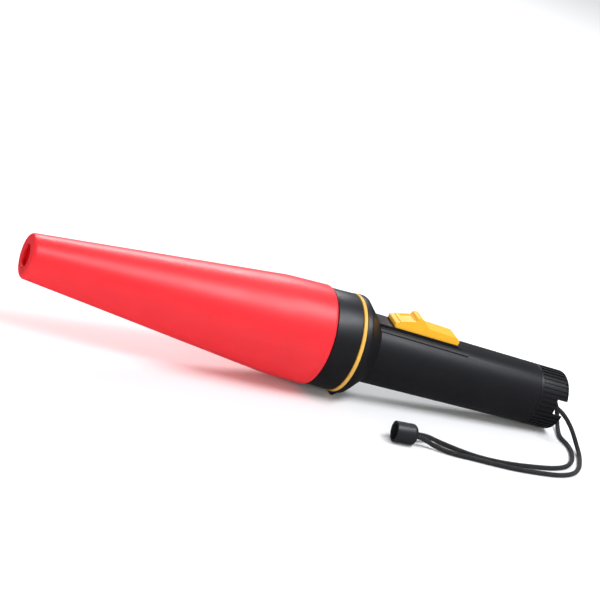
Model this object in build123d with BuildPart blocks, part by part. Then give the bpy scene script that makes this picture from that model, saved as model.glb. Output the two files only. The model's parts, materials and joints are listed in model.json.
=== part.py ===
from build123d import *
import math
import os

# Two-cell flashlight with a slip-on signal wand, lying on a level surface with its switch up.
# Stations run along the light's own axis from the middle of the yellow ring: negative towards the wand's
# tip, positive towards the tail cap. Heights are measured square to that axis. All sizes are millimetres.
os.makedirs("parts", exist_ok=True)

# ---- Driving sizes ----
running_fit = 0.08          # radial, where one piece turns or slides on another
gap = 0.3                   # between pieces that move apart
contact_gap = 0.15          # between a moving contact and what it rubs on

ring_radius = 30.8
ring_width = 2.4
bezel_collar_length = 17.0  # bare part of the bezel between wand and ring
bezel_grip_length = 28.5    # part of the bezel that the wand slips over
thread_length = 13.2
thread_depth = 3.2
spigot_wall = 1.8

wand_tip_radius = 13.6
wand_hole_radius = 7.0
wand_tip_lip = 3.2
wand_taper_length = 156.5
wand_skirt_length = 31.2
wand_wall = 2.0

cell_radius = 17.05
cell_length = 61.5
cell_play = 0.4
neck_wall = 3.4
rear_wall = 1.78
barrel_length = 115.5       # from the neck to the seam of the tail cap
flange_length = 3.6
shoulder_length = 10.7

cap_length = 21.1
cap_corner = 2.5
cap_rim_depth = 9.0
cap_floor = 2.5
rib_count = 40
notch_angle = 84.0          # from straight up, towards the side the lanyard lies on
notch_width = 10.3
lanyard_bar_radius = 1.8
lanyard_bar_setback = 3.1   # from the cap's rear face to the middle of the bar

foot_reach = 32.9
foot_width = 23.4
foot_height = 4.4

switch_travel = 7.0
slider_length = 46.0
slider_setback = 8.6        # from the neck to the slider's front at rest
slider_half_width = 7.8
pad_rise = 0.0
pad_flat_length = 50.0      # the pad then runs down into the barrel
pad_length = 58.0
pad_half_width = 8.2

strip_thickness = 0.35
strip_width = 6.0

cord_radius = 1.5
bell_radius = 6.4
bell_length = 14.0
bell_yaw = -2.0

# ---- Stations and radii that follow from them ----
ring_front = -ring_width / 2
ring_rear = ring_width / 2
flange_radius = ring_radius + 0.2
spigot_radius = ring_radius - thread_depth
spigot_front = ring_rear - thread_length
bezel_rear = ring_front - gap
step_station = ring_front - bezel_collar_length
bezel_front = step_station - bezel_grip_length
collar_radius = ring_radius - 0.7
grip_radius = collar_radius - 1.1
skirt_radius = collar_radius + 1.2
skirt_end = step_station - gap
knee_station = skirt_end - wand_skirt_length
knee_radius = collar_radius + 0.1
tip_station = knee_station - wand_taper_length
skirt_lip = 2.1

bore_radius = cell_radius + cell_play
shoulder_station = ring_rear + flange_length
neck_station = shoulder_station + shoulder_length
neck_radius = bore_radius + neck_wall
seam_station = neck_station + barrel_length
seam_radius = bore_radius + rear_wall
tail_station = seam_station + cap_length
cap_gap = 0.15
cap_rear_radius = seam_radius - 0.2
cap_floor_station = tail_station - cap_rim_depth
cap_rim_radius = cap_rear_radius - 3.0
cap_spigot_radius = bore_radius - running_fit
cap_spigot_front = seam_station - 10.0
cap_bore_radius = cap_spigot_radius - 2.8

guide_front = -8.0
guide_radius = bore_radius + 1.75
rear_cell_rear = cap_spigot_front - 2.5
front_cell_rear = rear_cell_rear - cell_length
front_cell_tip = front_cell_rear - cell_length

# ---- How the light lies: on the flat of its foot and the lowest point of its tail cap ----
corner_run = (tail_station - cap_corner) - shoulder_station
corner_drop = (flange_radius - 0.1) - (cap_rear_radius - cap_corner)
tilt = math.atan2(corner_drop, corner_run) - math.asin(cap_corner / math.hypot(corner_run, corner_drop))
lie_cos = math.cos(tilt)
lie_sin = math.sin(tilt)
axis_rise = shoulder_station * lie_sin + (flange_radius - 0.1) * lie_cos
front_reach = (tip_station + wand_tip_lip) * lie_cos - (wand_tip_radius - wand_tip_lip) * lie_sin - wand_tip_lip
rear_reach = (tail_station - cap_corner) * lie_cos + (cap_rear_radius - cap_corner) * lie_sin + cap_corner
axis_shift = -(front_reach + rear_reach) / 2

rearward = Vector(lie_cos, 0, -lie_sin)
upward = Vector(lie_sin, 0, lie_cos)
ring_centre = Vector(axis_shift, 0, axis_rise)
light_axis = Axis(ring_centre, rearward)
side = Plane(origin=ring_centre, x_dir=rearward, z_dir=(0, -1, 0))


def across(station):
    return Plane(origin=ring_centre + rearward * station, x_dir=(0, 1, 0), z_dir=rearward)


def plan(height):
    return Plane(origin=ring_centre + upward * height, x_dir=rearward, z_dir=upward)


# The switch stands on a pad that follows the barrel's slight taper. Its own planes start above the neck.
taper = math.degrees(math.atan2(neck_radius - seam_radius, barrel_length))
pad_origin = ring_centre + rearward * neck_station + upward * neck_radius
pad_side = Plane(origin=pad_origin, x_dir=rearward, z_dir=(0, -1, 0)).rotated((0, 0, -taper))
pad_run = pad_side.x_dir
pad_up = pad_side.y_dir


def pad_plan(height):
    return Plane(origin=pad_origin + pad_up * height, x_dir=pad_run, z_dir=pad_up)


def pad_across(distance):
    return Plane(origin=pad_origin + pad_run * distance, x_dir=(0, 1, 0), z_dir=pad_run)


def outline(*points):
    with BuildSketch(side) as flat:
        with BuildLine():
            Polyline(*points, close=True)
        make_face()
    return flat.sketch


def save(piece, name):
    piece.part.label = name
    export_step(piece.part, f"parts/{name}.step")


# ---- Barrel: spigot, flange, shoulder, tube, foot, switch pad ----
with BuildPart() as foot:
    revolve(
        outline(
            (ring_rear, spigot_radius),
            (ring_rear, foot_reach),
            (ring_rear + 1.2, foot_reach),
            (ring_rear + 6.2, foot_reach - 4.5),
            (ring_rear + 6.2, spigot_radius),
        ),
        axis=light_axis,
    )
    with BuildSketch(Plane.XY):
        with Locations((axis_shift, 0)):
            Rectangle(4 * foot_reach, foot_width)
    extrude(amount=foot_height, mode=Mode.INTERSECT)

pad_top = pad_rise
roof_height = pad_top - 1.0
ledge_inner = pad_half_width + 2.4
ledge_outer = pad_half_width + 3.7
ledge_rise = 0.65
ledge_end = pad_length + 3.5
pad_front = -4.0            # runs into the shoulder
pad_root = -2.3             # below the barrel's surface, so that the pad joins it
pad_flare = 0.9             # each side, at the pad's root


def crown_drop(offset):
    return math.sqrt(neck_radius**2 - offset**2) - neck_radius


with BuildPart() as pad:
    with BuildSketch(pad_side):
        with BuildLine():
            Polyline(
                (pad_front, pad_root),
                (pad_front, pad_top),
                (pad_flat_length, pad_top),
                (pad_length, crown_drop(pad_half_width)),
                (pad_length, pad_root),
                close=True,
            )
        make_face()
    extrude(amount=pad_half_width + pad_flare, both=True)
    with BuildSketch(pad_across(pad_front)):
        with BuildLine():
            Polyline(
                (-pad_half_width - pad_flare, pad_root - 0.1),
                (-pad_half_width, pad_top),
                (pad_half_width, pad_top),
                (pad_half_width + pad_flare, pad_root - 0.1),
                close=True,
            )
        make_face()
    extrude(amount=pad_length - pad_front, mode=Mode.INTERSECT)
    for hand in (-1, 1):
        with BuildSketch(pad_across(pad_front)):
            with BuildLine():
                Polyline(
                    (hand * ledge_inner, crown_drop(ledge_inner) - 1.2),
                    (hand * ledge_inner, crown_drop(ledge_inner) + ledge_rise),
                    (hand * ledge_outer, crown_drop(ledge_outer) + ledge_rise),
                    (hand * ledge_outer, crown_drop(ledge_outer) - 1.2),
                    close=True,
                )
            make_face()
        extrude(amount=ledge_end - pad_front)

stem_length = 18.0
stem_width = 4.6
stem_front = slider_setback + 15.0
slot_width = stem_width + 0.5
carrier_length = 26.0
carrier_front = stem_front - 4.0
cavity_front = carrier_front - switch_travel - 1.5
cavity_rear = carrier_front + carrier_length + 1.5
cavity_width = 11.6
cavity_depth = 3.2
strip_bottom = bore_radius + 0.05
strip_top = strip_bottom + strip_thickness
channel_top = strip_top + 0.2

with BuildPart() as barrel:
    revolve(
        outline(
            (spigot_front, spigot_radius - spigot_wall),
            (spigot_front, spigot_radius),
            (ring_rear, spigot_radius),
            (ring_rear, flange_radius),
            (shoulder_station, flange_radius - 0.1),
            (neck_station, neck_radius),
            (seam_station, seam_radius),
            (seam_station, bore_radius),
            (guide_front, bore_radius),
            (guide_front, guide_radius),
            (shoulder_station - 1, guide_radius),
            (shoulder_station - 1, spigot_radius - spigot_wall),
        ),
        axis=light_axis,
    )
    add(foot.part)
    add(pad.part)
    with BuildSketch(pad_plan(roof_height)):
        with Locations(((cavity_front + cavity_rear) / 2, 0)):
            Rectangle(cavity_rear - cavity_front, cavity_width)
    extrude(amount=-cavity_depth, mode=Mode.SUBTRACT)
    with BuildSketch(pad_plan(pad_top + 1)):
        with Locations((stem_front + stem_length / 2 - switch_travel / 2, 0)):
            SlotOverall(stem_length + switch_travel + 0.9, slot_width)
    extrude(amount=-5, mode=Mode.SUBTRACT)
    with BuildSketch(plan(channel_top)):
        with Locations(((guide_front + seam_station) / 2, 0)):
            Rectangle(seam_station - guide_front + 1, strip_width + 0.6)
    extrude(amount=-2, mode=Mode.SUBTRACT)
save(barrel, "barrel")

with BuildPart() as trim_ring:
    revolve(
        outline(
            (ring_front, spigot_radius + 0.02),
            (ring_front, ring_radius - 0.5),
            (ring_front + 0.5, ring_radius),
            (ring_rear - 0.5, ring_radius),
            (ring_rear, ring_radius - 0.5),
            (ring_rear, spigot_radius + 0.02),
        ),
        axis=light_axis,
    )
save(trim_ring, "trim_ring")

# ---- Bezel and optics ----
lip_radius = grip_radius - 4.4
bezel_bore = spigot_radius + running_fit
seat_radius = bezel_bore - 0.7
lip_length = 2.0
gasket_front = bezel_front + lip_length
gasket_rear = gasket_front + 0.8
lens_front = gasket_rear + contact_gap
lens_rear = lens_front + 2.0
rim_rear = lens_rear + 1.2
optic_radius = seat_radius - 0.2
throat_radius = 6.0
throat_station = spigot_front - 1.8
bowl_radius = optic_radius - 2.3
bowl_depth = throat_station - rim_rear
focal_length = (bowl_radius**2 - throat_radius**2) / (4 * bowl_depth)
flange_of_lamp = throat_station + 1.8

with BuildPart() as bezel:
    revolve(
        outline(
            (bezel_front, lip_radius),
            (bezel_front, grip_radius - 1),
            (bezel_front + 1, grip_radius),
            (step_station, grip_radius),
            (step_station, collar_radius),
            (bezel_rear, ring_radius - 0.35),
            (bezel_rear, bezel_bore),
            (spigot_front - gap, bezel_bore),
            (spigot_front - gap, seat_radius),
            (gasket_front, seat_radius),
            (gasket_front, lip_radius),
        ),
        axis=light_axis,
    )
save(bezel, "bezel")

with BuildPart() as lens_gasket:
    revolve(
        outline(
            (gasket_front, lip_radius + 0.4),
            (gasket_rear, lip_radius + 0.4),
            (gasket_rear, seat_radius - 0.05),
            (gasket_front, seat_radius - 0.05),
        ),
        axis=light_axis,
    )
save(lens_gasket, "lens_gasket")

with BuildPart() as lens:
    with BuildSketch(across(lens_front)):
        Circle(optic_radius)
    extrude(amount=lens_rear - lens_front)
save(lens, "lens")


def bowl_point(radius, shift):
    return (throat_station - (radius**2 - throat_radius**2) / (4 * focal_length) + shift, radius + shift)


bowl_wall = 1.1
bowl_steps = [throat_radius + (bowl_radius - throat_radius) * step / 6 for step in range(7)]

with BuildPart() as reflector:
    with BuildSketch(side):
        with BuildLine():
            Spline(*[bowl_point(radius, 0) for radius in bowl_steps])
            Polyline(
                bowl_point(bowl_radius, 0),
                (lens_rear, bowl_radius),
                (lens_rear, optic_radius),
                (spigot_front - gap, optic_radius),
                (spigot_front - gap, optic_radius - 1.0),
                (rim_rear + 1.4, optic_radius - 1.0),
                bowl_point(bowl_radius, bowl_wall),
            )
            Spline(*[bowl_point(radius, bowl_wall) for radius in reversed(bowl_steps)])
            Polyline(
                bowl_point(throat_radius, bowl_wall),
                (flange_of_lamp, throat_radius + bowl_wall),
                (flange_of_lamp, throat_radius),
                bowl_point(throat_radius, 0),
            )
        make_face()
    revolve(axis=light_axis)
save(reflector, "reflector")

lamp_rear = front_cell_tip - gap
lamp_barrel_radius = 4.7
holder_rear = guide_front - 0.9
holder_wall = 2.2
contact_plate = 0.3
vent_count = 3
vent_ring_radius = 13.0
vent_length = 9.0
vent_width = 4.0

with BuildPart() as lamp_base:
    revolve(
        outline(
            (flange_of_lamp, 0),
            (flange_of_lamp, throat_radius + 0.8),
            (flange_of_lamp + 0.6, throat_radius + 0.8),
            (flange_of_lamp + 0.6, lamp_barrel_radius),
            (lamp_rear - 1.0, lamp_barrel_radius),
            (lamp_rear - 0.6, 1.8),
            (lamp_rear, 1.4),
            (lamp_rear, 0),
        ),
        axis=light_axis,
    )
save(lamp_base, "lamp_base")

dome_radius = 4.4
dome_straight = 3.5

with BuildPart() as lamp_dome:
    with BuildSketch(side):
        with BuildLine():
            Polyline(
                (flange_of_lamp - dome_straight - dome_radius, 0),
                (flange_of_lamp, 0),
                (flange_of_lamp, dome_radius),
                (flange_of_lamp - dome_straight, dome_radius),
            )
            RadiusArc(
                (flange_of_lamp - dome_straight, dome_radius),
                (flange_of_lamp - dome_straight - dome_radius, 0),
                -dome_radius,
            )
        make_face()
    revolve(axis=light_axis)
save(lamp_dome, "lamp_dome")

with BuildPart() as lamp_holder:
    revolve(
        outline(
            (flange_of_lamp - 0.6, throat_radius + bowl_wall + 0.05),
            (flange_of_lamp - 0.6, throat_radius + bowl_wall + holder_wall),
            (holder_rear, throat_radius + bowl_wall + holder_wall),
            (holder_rear, lamp_barrel_radius + 0.1),
            (flange_of_lamp + 0.7, lamp_barrel_radius + 0.1),
            (flange_of_lamp + 0.7, throat_radius + bowl_wall + 0.05),
        ),
        axis=light_axis,
    )
save(lamp_holder, "lamp_holder")

with BuildPart() as lamp_contact:
    with BuildSketch(across(holder_rear)):
        Circle(guide_radius - 0.4)
        Circle(lamp_barrel_radius + 0.2, mode=Mode.SUBTRACT)
        with PolarLocations(vent_ring_radius, vent_count, start_angle=90):
            SlotOverall(vent_length, vent_width, rotation=90, mode=Mode.SUBTRACT)
    extrude(amount=contact_plate)
save(lamp_contact, "lamp_contact")

# ---- Signal wand ----
with BuildPart() as wand_cone:
    with BuildSketch(side):
        with BuildLine():
            Line((tip_station, wand_hole_radius), (tip_station, wand_tip_radius - wand_tip_lip))
            RadiusArc(
                (tip_station, wand_tip_radius - wand_tip_lip),
                (tip_station + wand_tip_lip, wand_tip_radius),
                wand_tip_lip,
            )
            Polyline(
                (tip_station + wand_tip_lip, wand_tip_radius),
                (knee_station, knee_radius),
                (knee_station + 4, knee_radius + 0.35),
                (skirt_end - skirt_lip, skirt_radius),
            )
            RadiusArc(
                (skirt_end - skirt_lip, skirt_radius),
                (skirt_end, skirt_radius - skirt_lip),
                skirt_lip,
            )
            Polyline(
                (skirt_end, skirt_radius - skirt_lip),
                (skirt_end, grip_radius + running_fit),
                (bezel_front - 0.6, grip_radius + running_fit),
                (knee_station - 2, knee_radius - wand_wall),
                (tip_station + wand_tip_lip, wand_tip_radius - wand_wall),
                (tip_station + wand_wall, wand_tip_radius - wand_wall - 1.6),
                (tip_station + wand_wall, wand_hole_radius),
                (tip_station, wand_hole_radius),
            )
        make_face()
    revolve(axis=light_axis)
save(wand_cone, "wand_cone")

# ---- Cells ----
nub_height = 2.0
nub_radius = 4.75
jacket_wall = 0.4
can_radius = cell_radius - jacket_wall - 0.02

for cell_name, cell_rear in (("front_cell", front_cell_rear), ("rear_cell", rear_cell_rear)):
    cell_front = cell_rear - cell_length + nub_height
    with BuildPart() as cell:
        revolve(
            outline(
                (cell_front - nub_height, 0),
                (cell_front - nub_height, nub_radius),
                (cell_front, nub_radius + 0.2),
                (cell_front, can_radius - 0.8),
                (cell_front + 0.8, can_radius),
                (cell_rear - 0.8, can_radius),
                (cell_rear, can_radius - 0.8),
                (cell_rear, 0),
            ),
            axis=light_axis,
        )
    save(cell, f"{cell_name}_can")
    with BuildPart() as jacket:
        with BuildSketch(across(cell_front + 1.2)):
            Circle(cell_radius)
            Circle(can_radius + 0.02, mode=Mode.SUBTRACT)
        extrude(amount=cell_length - nub_height - 2.4)
    save(jacket, f"{cell_name}_jacket")

# ---- Contact strips along the top of the bore ----
front_strip_rear = neck_station + carrier_front + 4.0
rear_strip_front = front_strip_rear + 7.0


def strip(start, end):
    with BuildSketch(plan(strip_bottom)) as flat:
        with Locations(((start + end) / 2, 0)):
            Rectangle(end - start, strip_width)
    return flat.sketch


with BuildPart() as front_contact_strip:
    with BuildSketch(across(guide_front - 0.4)):
        Circle(guide_radius - 0.15)
        Circle(bore_radius + 0.1, mode=Mode.SUBTRACT)
    extrude(amount=0.4)
    extrude(strip(guide_front - 0.2, front_strip_rear), amount=strip_thickness)
save(front_contact_strip, "front_contact_strip")

with BuildPart() as rear_contact_strip:
    extrude(strip(rear_strip_front, seam_station - 0.3), amount=strip_thickness)
save(rear_contact_strip, "rear_contact_strip")

# ---- Switch: slider, carrier, bridge and detent leaves ----
slider_front = slider_setback
slider_rear = slider_front + slider_length
slider_foot = pad_top + contact_gap
skirt_height = 1.5
ridge_front = slider_front + 13.4
ridge_height = 9.4
lip_height = 3.5            # low lip in front of the thumb face
face_height = 4.6           # where the thumb face begins
face_rise = 2.3
ramp_height = 4.9           # where the ridge runs into the long ramp behind it
ramp_end_height = 4.3
carrier_top = roof_height - contact_gap
carrier_bottom = carrier_top - 0.85
bridge_bottom = carrier_bottom - 0.3
tang_width = 3.4
tang_length = stem_length - 4
tang_height = 0.7
carrier_width = 9.0
bridge_length = 17.0
bridge_width = 5.0
leaf_length = 18.0
leaf_thickness = 0.25
leaf_bow = 0.7
leaf_height = 0.7

with BuildPart() as switch_slider:
    with BuildSketch(pad_side):
        with BuildLine():
            Polyline(
                (slider_rear, slider_foot),
                (slider_front + 0.6, slider_foot),
                (slider_front, slider_foot + 1.0),
                (slider_front + 0.3, lip_height - 0.9),
                (slider_front + 1.2, lip_height - 0.2),
                (slider_front + 2.9, lip_height),
                (slider_front + 3.5, face_height - 0.3),
                (slider_front + 4.6, face_height),
                (ridge_front, face_height + face_rise),
                (ridge_front + 0.4, ridge_height - 0.8),
                (ridge_front + 1.4, ridge_height),
                (ridge_front + 3.2, ridge_height),
                (ridge_front + 4.4, ridge_height - 0.8),
                (ridge_front + 9.5, ramp_height),
                (slider_rear - 4.4, ramp_end_height),
                (slider_rear - 2.2, ramp_end_height - 0.35),
                (slider_rear - 0.7, ramp_end_height - 1.05),
                (slider_rear, ramp_end_height - 2.1),
                (slider_rear, slider_foot),
            )
        make_face()
    extrude(amount=slider_half_width, both=True)
    with BuildSketch(pad_across(slider_front - 1)):
        with BuildLine():
            Polyline(
                (-slider_half_width, slider_foot - 0.1),
                (-slider_half_width, slider_foot + skirt_height),
                (-slider_half_width + 0.8, slider_foot + skirt_height + 0.5),
                (-slider_half_width + 2.0, ridge_height + 1),
                (slider_half_width - 2.0, ridge_height + 1),
                (slider_half_width - 0.8, slider_foot + skirt_height + 0.5),
                (slider_half_width, slider_foot + skirt_height),
                (slider_half_width, slider_foot - 0.1),
                close=True,
            )
        make_face()
    extrude(amount=slider_length + 2, mode=Mode.INTERSECT)
    with BuildSketch(pad_plan(slider_foot)):
        with Locations((stem_front + stem_length / 2, 0)):
            SlotOverall(stem_length, stem_width)
    extrude(amount=carrier_top - slider_foot)
    with BuildSketch(pad_plan(carrier_top)):
        with Locations((stem_front + stem_length / 2, 0)):
            Rectangle(tang_length, tang_width)
    extrude(amount=-tang_height)
save(switch_slider, "switch_slider")

with BuildPart() as switch_carrier:
    with BuildSketch(pad_plan(carrier_bottom)):
        with Locations((carrier_front + carrier_length / 2, 0)):
            RectangleRounded(carrier_length, carrier_width, 1.0)
        with Locations((stem_front + stem_length / 2, 0)):
            Rectangle(tang_length + 0.2, tang_width + 0.2, mode=Mode.SUBTRACT)
    extrude(amount=carrier_top - carrier_bottom)
save(switch_carrier, "switch_carrier")

with BuildPart() as switch_bridge:
    with BuildSketch(pad_plan(bridge_bottom)):
        with Locations((carrier_front + 15.5, 0)):
            RectangleRounded(bridge_length, bridge_width, 0.6)
    extrude(amount=carrier_bottom - bridge_bottom)
save(switch_bridge, "switch_bridge")

leaf_start = carrier_front + 4.0
leaf_end = leaf_start + leaf_length
leaf_middle = (leaf_start + leaf_end) / 2
leaf_side = carrier_width / 2 + 0.3
with BuildPart() as detent_leaves:
    for hand in (-1, 1):
        with BuildSketch(pad_plan(carrier_bottom)):
            with BuildLine():
                outer_bow = ThreePointArc(
                    (leaf_start, hand * leaf_side),
                    (leaf_middle, hand * (leaf_side + leaf_bow)),
                    (leaf_end, hand * leaf_side),
                )
                inner_bow = ThreePointArc(
                    (leaf_end, hand * (leaf_side - leaf_thickness)),
                    (leaf_middle, hand * (leaf_side + leaf_bow - leaf_thickness)),
                    (leaf_start, hand * (leaf_side - leaf_thickness)),
                )
                Line(outer_bow @ 1, inner_bow @ 0)
                Line(inner_bow @ 1, outer_bow @ 0)
            make_face()
        extrude(amount=leaf_height)
save(detent_leaves, "detent_leaves")

# ---- Tail cap, its seal, spring and contact plate ----
groove_front = seam_station - 3.4
groove_rear = groove_front + 2.2
groove_radius = cap_spigot_radius - 1.4
rib_depth = 0.55
rib_gap = 1.3
rib_front = seam_station + 1.6
seal_radius = (cap_spigot_radius - groove_radius) / 2

with BuildPart() as tail_cap:
    with BuildSketch(side):
        with BuildLine():
            Polyline(
                (tail_station - cap_corner, cap_rear_radius),
                (seam_station + cap_gap, seam_radius),
                (seam_station + cap_gap, cap_spigot_radius),
                (groove_rear, cap_spigot_radius),
                (groove_rear, groove_radius),
                (groove_front, groove_radius),
                (groove_front, cap_spigot_radius),
                (cap_spigot_front, cap_spigot_radius),
                (cap_spigot_front, cap_bore_radius),
                (cap_floor_station - cap_floor, cap_bore_radius),
                (cap_floor_station - cap_floor, 0),
                (cap_floor_station, 0),
                (cap_floor_station, cap_rim_radius),
                (tail_station, cap_rim_radius),
                (tail_station, cap_rear_radius - cap_corner),
            )
            RadiusArc(
                (tail_station, cap_rear_radius - cap_corner),
                (tail_station - cap_corner, cap_rear_radius),
                cap_corner,
            )
        make_face()
    revolve(axis=light_axis)
    with BuildSketch(across(rib_front)):
        with PolarLocations(seam_radius + 0.25, rib_count, start_angle=90 + 180 / rib_count):
            Rectangle(2 * (rib_depth + 0.25), rib_gap)
    extrude(amount=cap_length, mode=Mode.SUBTRACT)
    with BuildSketch(across(tail_station + 1)):
        with PolarLocations(cap_rear_radius, 2, start_angle=90 + notch_angle):
            Rectangle(10, notch_width)
    extrude(amount=-cap_rim_depth, mode=Mode.SUBTRACT)
    with BuildSketch(plan(-cap_rim_radius - 0.5)):
        with Locations((tail_station - lanyard_bar_setback, 0)):
            Circle(lanyard_bar_radius)
    extrude(amount=2 * cap_rim_radius + 1)
save(tail_cap, "tail_cap")

with BuildPart() as tail_gasket:
    with BuildSketch(side):
        with Locations(((groove_front + groove_rear) / 2, groove_radius + seal_radius)):
            Circle(seal_radius - 0.02)
    revolve(axis=light_axis)
save(tail_gasket, "tail_gasket")

plate_thickness = 0.5
plate_front = cap_floor_station - cap_floor - contact_gap - plate_thickness
with BuildPart() as spring_plate:
    with BuildSketch(across(plate_front)):
        Circle(cap_bore_radius - contact_gap)
        Circle(2.0, mode=Mode.SUBTRACT)
    extrude(amount=plate_thickness)
save(spring_plate, "spring_plate")

wire_radius = 0.6
spring_length = plate_front - rear_cell_rear - gap - 2 * wire_radius
spring_turns = 5
spring_base_radius = cap_bore_radius - 2.4
spring_top_radius = 6.5
spring_cone = math.degrees(math.atan2(spring_base_radius - spring_top_radius, spring_length))
with BuildPart() as tail_spring:
    with BuildLine() as coil:
        Helix(
            pitch=spring_length / spring_turns,
            height=spring_length,
            radius=spring_base_radius,
            center=ring_centre + rearward * (plate_front - wire_radius),
            direction=rearward * -1,
            cone_angle=-spring_cone,
        )
    with BuildSketch(Plane(origin=coil.line @ 0, z_dir=coil.line % 0)):
        Circle(wire_radius)
    sweep()
save(tail_spring, "tail_spring")

# ---- Wrist lanyard: two legs of one cord, its knot, and the bell that covers the knot ----
bell_axis = Vector(math.cos(math.radians(bell_yaw)), math.sin(math.radians(bell_yaw)), 0)
bell_mouth = Vector(49.7, -62.9, bell_radius)
bell_wall = 1.5
bell_cup_depth = 9.2
bell_hole_radius = 2 * cord_radius + 0.35


def bell_section(distance):
    return Plane(origin=bell_mouth + bell_axis * distance, x_dir=(0, 0, 1), z_dir=bell_axis)


with BuildPart() as lanyard_bell:
    with BuildSketch(bell_section(0)):
        Circle(bell_radius)
    extrude(amount=bell_length)
    fillet(lanyard_bell.edges().sort_by(Axis(bell_mouth, bell_axis))[-1], radius=3.0)
    with BuildSketch(bell_section(0)):
        Circle(bell_radius - bell_wall)
    extrude(amount=bell_cup_depth, mode=Mode.SUBTRACT)
    with BuildSketch(bell_section(0)):
        Circle(bell_hole_radius)
    extrude(amount=bell_length, mode=Mode.SUBTRACT)
save(lanyard_bell, "lanyard_bell")

knot_length = 3.8
knot_radius = 4.2
knot_rear = bell_cup_depth - 0.4
with BuildPart() as lanyard_knot:
    with BuildSketch(bell_section(knot_rear - knot_length)):
        Circle(knot_radius)
    extrude(amount=knot_length)
    fillet(lanyard_knot.edges().sort_by(Axis(bell_mouth, bell_axis))[0], radius=1.8)
save(lanyard_knot, "lanyard_knot")

# Route of each leg, from the bar in the tail cap out and down to the surface, round the corner and back
# to the knot.
leg_start = (171.4, -2.5, 20.3)
leg_by_notch = [
    leg_start,
    (171.4, -9.5, 20.3),
    (173.0, -17.5, 20.6),
    (177.0, -22.5, 18.6),
    (182.8, -26.3, 12.2),
    (187.0, -31.0, 4.6),
    (187.0, -39.0, 1.5),
    (183.5, -48.5, 1.5),
    (178.3, -60.0, 1.5),
    (170.5, -69.6, 1.5),
    (158.5, -75.2, 1.5),
    (144.0, -76.4, 1.5),
    (128.5, -76.6, 1.5),
    (114.6, -74.6, 1.5),
    (101.0, -72.0, 1.5),
    (87.5, -70.0, 1.5),
    (77.5, -66.2, 2.2),
    (71.0, -64.6, 4.6),
    (64.84, -64.98, 6.4),
    (58.44, -64.76, 6.4),
]
leg_over_rim = [
    leg_start,
    (171.4, 4.5, 20.3),
    (178.9, 4.9, 19.4),
    (184.2, 4.3, 13.0),
    (186.6, 2.4, 4.8),
    (184.6, -7.0, 1.6),
    (181.8, -17.5, 1.5),
    (183.9, -27.5, 1.5),
    (181.8, -39.5, 1.5),
    (176.8, -51.5, 1.5),
    (169.0, -61.0, 1.5),
    (157.5, -66.4, 1.5),
    (143.5, -68.8, 1.5),
    (129.0, -70.6, 1.5),
    (115.2, -70.4, 1.5),
    (101.6, -67.4, 1.5),
    (91.0, -61.6, 1.5),
    (82.0, -56.8, 1.9),
    (73.8, -57.6, 4.4),
    (64.94, -61.88, 6.4),
    (58.555, -61.66, 6.4),
]


def corner_radii(points):
    radii = []
    for before, here, after in zip(points, points[1:], points[2:]):
        run_in = Vector(here) - Vector(before)
        run_out = Vector(after) - Vector(here)
        half_turn = math.radians(run_in.get_angle(run_out)) / 2
        radii.append(0.45 * min(run_in.length, run_out.length) / math.tan(half_turn))
    return radii


for leg_name, leg_points in (("lanyard_leg_notch", leg_by_notch), ("lanyard_leg_rim", leg_over_rim)):
    leg_radii = corner_radii(leg_points)
    with BuildPart() as leg:
        with BuildLine() as leg_route:
            FilletPolyline(*leg_points, radius=leg_radii)
        with BuildSketch(Plane(origin=leg_route.line @ 0, z_dir=leg_route.line % 0)):
            Circle(cord_radius)
        sweep()
    save(leg, leg_name)
    leg_length = sum(edge.length for edge in leg_route.line.edges())
    leg_ratio = leg.part.volume / (math.pi * cord_radius**2 * leg_length)
    print(leg_name, "length", round(leg_length, 1), "volume over section x length", round(leg_ratio, 4))
    print(leg_name, "radii", [round(radius, 1) for radius in leg_radii])

print("tilt", round(math.degrees(tilt), 4), "shift", round(axis_shift, 4), "rise", round(axis_rise, 4))
print("tail station", round(tail_station, 3), "tip station", round(tip_station, 3), "taper", round(taper, 4))
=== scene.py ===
import json
import math
import random

import bpy
from mathutils import Matrix, Quaternion, Vector


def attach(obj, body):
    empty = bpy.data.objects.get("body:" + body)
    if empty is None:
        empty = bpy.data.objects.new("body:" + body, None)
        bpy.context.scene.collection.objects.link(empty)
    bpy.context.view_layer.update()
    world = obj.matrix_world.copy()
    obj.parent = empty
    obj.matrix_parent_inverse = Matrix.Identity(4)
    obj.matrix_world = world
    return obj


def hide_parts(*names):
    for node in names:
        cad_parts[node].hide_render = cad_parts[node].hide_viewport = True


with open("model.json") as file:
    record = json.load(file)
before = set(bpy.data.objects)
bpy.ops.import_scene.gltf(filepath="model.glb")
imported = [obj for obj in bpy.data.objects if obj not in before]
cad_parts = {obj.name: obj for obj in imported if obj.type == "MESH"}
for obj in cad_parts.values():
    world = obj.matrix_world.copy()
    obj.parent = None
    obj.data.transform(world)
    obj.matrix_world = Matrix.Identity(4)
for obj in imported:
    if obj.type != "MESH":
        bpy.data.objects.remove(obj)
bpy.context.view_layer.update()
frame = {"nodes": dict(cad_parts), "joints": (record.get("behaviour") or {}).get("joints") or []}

# Two-cell flashlight with a slip-on red signal wand. Sizes in the dictionaries are millimetres, and mm
# turns them into Blender's metres. Stations run along the light from the middle of its yellow ring.
mm = 0.001
random.seed(7)

joints = {joint["name"]: joint for joint in frame["joints"]}
rearward = -Vector(joints["bezel_turn"]["axis"])
ringCentre = Vector(joints["bezel_turn"]["pos_m"])
farSide = Vector((0, 1, 0))
upward = rearward.cross(farSide)
neck = {"station": 15.5, "radius": 20.85}


def placeFrom(origin, xAxis, yAxis, zAxis):
    turn = Matrix((xAxis, yAxis, zAxis)).transposed()
    return Matrix.Translation(origin) @ turn.to_4x4()


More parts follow.
